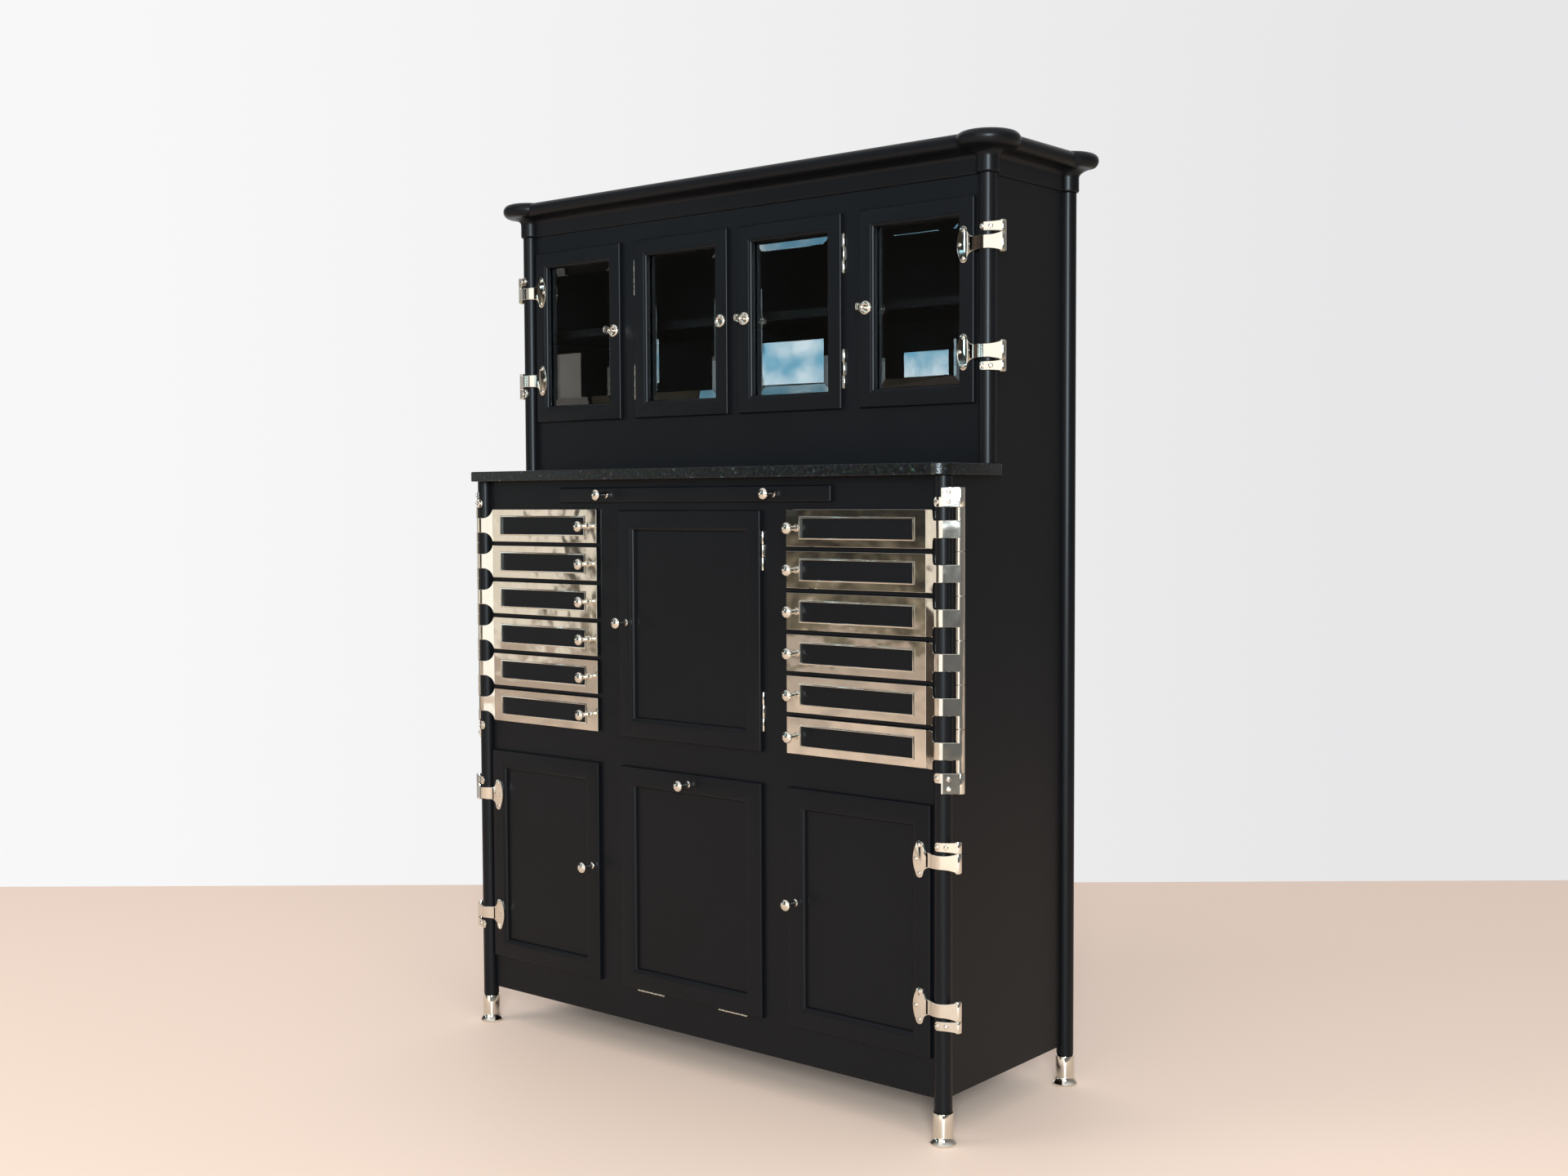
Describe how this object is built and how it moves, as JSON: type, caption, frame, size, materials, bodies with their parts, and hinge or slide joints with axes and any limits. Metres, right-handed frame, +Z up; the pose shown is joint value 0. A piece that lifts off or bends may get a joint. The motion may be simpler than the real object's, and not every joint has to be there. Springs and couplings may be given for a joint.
{
  "type": "dental instrument cabinet",
  "caption": "Black lacquered dental cabinet with glass doors over a stone counter, nickel-faced drawers that swing out on corner rods, cupboards, a tilt-out bin and a pull-out board.",
  "frame": {"origin": "on the floor, midway between the sides, and midway between the knob fronts and the rear feet", "axes": "+Z up, -Y towards the user in front of the doors, +X to the user's right"},
  "size_m": [1.132, 0.4165, 1.537],
  "materials": {
    "black_lacquer": "satin",
    "nickel": "polished",
    "black_stone": "polished",
    "clear_glass": "polished"
  },
  "bodies": {
    "case": {"side_panels": "black_lacquer", "back_panel": "black_lacquer", "corner_posts": "black_lacquer", "foot_ferrules": "nickel", "carcass_boards": "black_lacquer", "lower_face_frame": "black_lacquer", "upper_face_frame": "black_lacquer", "cornice": "black_lacquer", "counter_top": "black_stone", "drawer_hinge_rods": "nickel", "fixed_hinge_halves": "nickel"},
    "pull_out_board": {"slide_board": "black_lacquer", "slide_knobs": "nickel"},
    "left_drawer_1": {"left_drawer_1_face": "nickel", "left_drawer_1_tray": "black_lacquer"},
    "right_drawer_1": {"right_drawer_1_face": "nickel", "right_drawer_1_tray": "black_lacquer"},
    "left_drawer_2": {"left_drawer_2_face": "nickel", "left_drawer_2_tray": "black_lacquer"},
    "right_drawer_2": {"right_drawer_2_face": "nickel", "right_drawer_2_tray": "black_lacquer"},
    "left_drawer_3": {"left_drawer_3_face": "nickel", "left_drawer_3_tray": "black_lacquer"},
    "right_drawer_3": {"right_drawer_3_face": "nickel", "right_drawer_3_tray": "black_lacquer"},
    "left_drawer_4": {"left_drawer_4_face": "nickel", "left_drawer_4_tray": "black_lacquer"},
    "right_drawer_4": {"right_drawer_4_face": "nickel", "right_drawer_4_tray": "black_lacquer"},
    "left_drawer_5": {"left_drawer_5_face": "nickel", "left_drawer_5_tray": "black_lacquer"},
    "right_drawer_5": {"right_drawer_5_face": "nickel", "right_drawer_5_tray": "black_lacquer"},
    "left_drawer_6": {"left_drawer_6_face": "nickel", "left_drawer_6_tray": "black_lacquer"},
    "right_drawer_6": {"right_drawer_6_face": "nickel", "right_drawer_6_tray": "black_lacquer"},
    "glass_door_1": {"glass_door_1_frame": "black_lacquer", "glass_door_1_pane": "clear_glass", "glass_door_1_fittings": "nickel"},
    "glass_door_2": {"glass_door_2_frame": "black_lacquer", "glass_door_2_pane": "clear_glass", "glass_door_2_fittings": "nickel"},
    "glass_door_3": {"glass_door_3_frame": "black_lacquer", "glass_door_3_pane": "clear_glass", "glass_door_3_fittings": "nickel"},
    "glass_door_4": {"glass_door_4_frame": "black_lacquer", "glass_door_4_pane": "clear_glass", "glass_door_4_fittings": "nickel"},
    "key_1": {"glass_door_1_key": "nickel"},
    "key_3": {"glass_door_3_key": "nickel"},
    "key_4": {"glass_door_4_key": "nickel"},
    "left_door": {"left_door_panel": "black_lacquer", "left_door_fittings": "nickel"},
    "right_door": {"right_door_panel": "black_lacquer", "right_door_fittings": "nickel"},
    "centre_door": {"centre_door_panel": "black_lacquer", "centre_door_fittings": "nickel"},
    "tilt_bin": {"bin_flap": "black_lacquer", "bin_fittings": "nickel"}
  },
  "joints": [
    {"name": "board_slide", "type": "slide", "parent": "case", "child": "pull_out_board", "axis": [0, -1, 0], "range_m": [0, 0.26]},
    {"name": "left_drawer_1_swing", "type": "hinge", "parent": "case", "child": "left_drawer_1", "pos_m": [-0.5393, -0.16225, 0.933], "axis": [0, 0, -1], "range_deg": [0, 100]},
    {"name": "right_drawer_1_swing", "type": "hinge", "parent": "case", "child": "right_drawer_1", "pos_m": [0.5393, -0.16225, 0.933], "axis": [0, 0, 1], "range_deg": [0, 100]},
    {"name": "left_drawer_2_swing", "type": "hinge", "parent": "case", "child": "left_drawer_2", "pos_m": [-0.5393, -0.16225, 0.8666], "axis": [0, 0, -1], "range_deg": [0, 100]},
    {"name": "right_drawer_2_swing", "type": "hinge", "parent": "case", "child": "right_drawer_2", "pos_m": [0.5393, -0.16225, 0.8666], "axis": [0, 0, 1], "range_deg": [0, 100]},
    {"name": "left_drawer_3_swing", "type": "hinge", "parent": "case", "child": "left_drawer_3", "pos_m": [-0.5393, -0.16225, 0.8002], "axis": [0, 0, -1], "range_deg": [0, 100]},
    {"name": "right_drawer_3_swing", "type": "hinge", "parent": "case", "child": "right_drawer_3", "pos_m": [0.5393, -0.16225, 0.8002], "axis": [0, 0, 1], "range_deg": [0, 100]},
    {"name": "left_drawer_4_swing", "type": "hinge", "parent": "case", "child": "left_drawer_4", "pos_m": [-0.5393, -0.16225, 0.7338], "axis": [0, 0, -1], "range_deg": [0, 100]},
    {"name": "right_drawer_4_swing", "type": "hinge", "parent": "case", "child": "right_drawer_4", "pos_m": [0.5393, -0.16225, 0.7338], "axis": [0, 0, 1], "range_deg": [0, 100]},
    {"name": "left_drawer_5_swing", "type": "hinge", "parent": "case", "child": "left_drawer_5", "pos_m": [-0.5393, -0.16225, 0.6674], "axis": [0, 0, -1], "range_deg": [0, 100]},
    {"name": "right_drawer_5_swing", "type": "hinge", "parent": "case", "child": "right_drawer_5", "pos_m": [0.5393, -0.16225, 0.6674], "axis": [0, 0, 1], "range_deg": [0, 100]},
    {"name": "left_drawer_6_swing", "type": "hinge", "parent": "case", "child": "left_drawer_6", "pos_m": [-0.5393, -0.16225, 0.601], "axis": [0, 0, -1], "range_deg": [0, 100]},
    {"name": "right_drawer_6_swing", "type": "hinge", "parent": "case", "child": "right_drawer_6", "pos_m": [0.5393, -0.16225, 0.601], "axis": [0, 0, 1], "range_deg": [0, 100]},
    {"name": "glass_door_1_swing", "type": "hinge", "parent": "case", "child": "glass_door_1", "pos_m": [-0.5415, -0.05025, 1.28525], "axis": [0, 0, -1], "range_deg": [0, 170]},
    {"name": "glass_door_2_swing", "type": "hinge", "parent": "case", "child": "glass_door_2", "pos_m": [-0.2381, -0.05265, 1.28525], "axis": [0, 0, -1], "range_deg": [0, 100]},
    {"name": "glass_door_3_swing", "type": "hinge", "parent": "case", "child": "glass_door_3", "pos_m": [0.2381, -0.05265, 1.28525], "axis": [0, 0, 1], "range_deg": [0, 100]},
    {"name": "glass_door_4_swing", "type": "hinge", "parent": "case", "child": "glass_door_4", "pos_m": [0.5415, -0.05025, 1.28525], "axis": [0, 0, 1], "range_deg": [0, 170]},
    {"name": "key_1_turn", "type": "hinge", "parent": "glass_door_1", "child": "key_1", "pos_m": [-0.2865, -0.07025, 1.28675], "axis": [0, 1, 0], "range_deg": [0, 90]},
    {"name": "key_3_turn", "type": "hinge", "parent": "glass_door_3", "child": "key_3", "pos_m": [0.0275, -0.07025, 1.28675], "axis": [0, 1, 0], "range_deg": [0, 90]},
    {"name": "key_4_turn", "type": "hinge", "parent": "glass_door_4", "child": "key_4", "pos_m": [0.2865, -0.07025, 1.28675], "axis": [0, 1, 0], "range_deg": [0, 90]},
    {"name": "left_door_swing", "type": "hinge", "parent": "case", "child": "left_door", "pos_m": [-0.5415, -0.17025, 0.322], "axis": [0, 0, -1], "range_deg": [0, 170]},
    {"name": "right_door_swing", "type": "hinge", "parent": "case", "child": "right_door", "pos_m": [0.5415, -0.17025, 0.322], "axis": [0, 0, 1], "range_deg": [0, 170]},
    {"name": "centre_door_swing", "type": "hinge", "parent": "case", "child": "centre_door", "pos_m": [0.1636, -0.17265, 0.7645], "axis": [0, 0, 1], "range_deg": [0, 100]},
    {"name": "bin_tilt", "type": "hinge", "parent": "case", "child": "tilt_bin", "pos_m": [0, -0.17265, 0.1254], "axis": [1, 0, 0], "range_deg": [0, 32]}
  ]
}
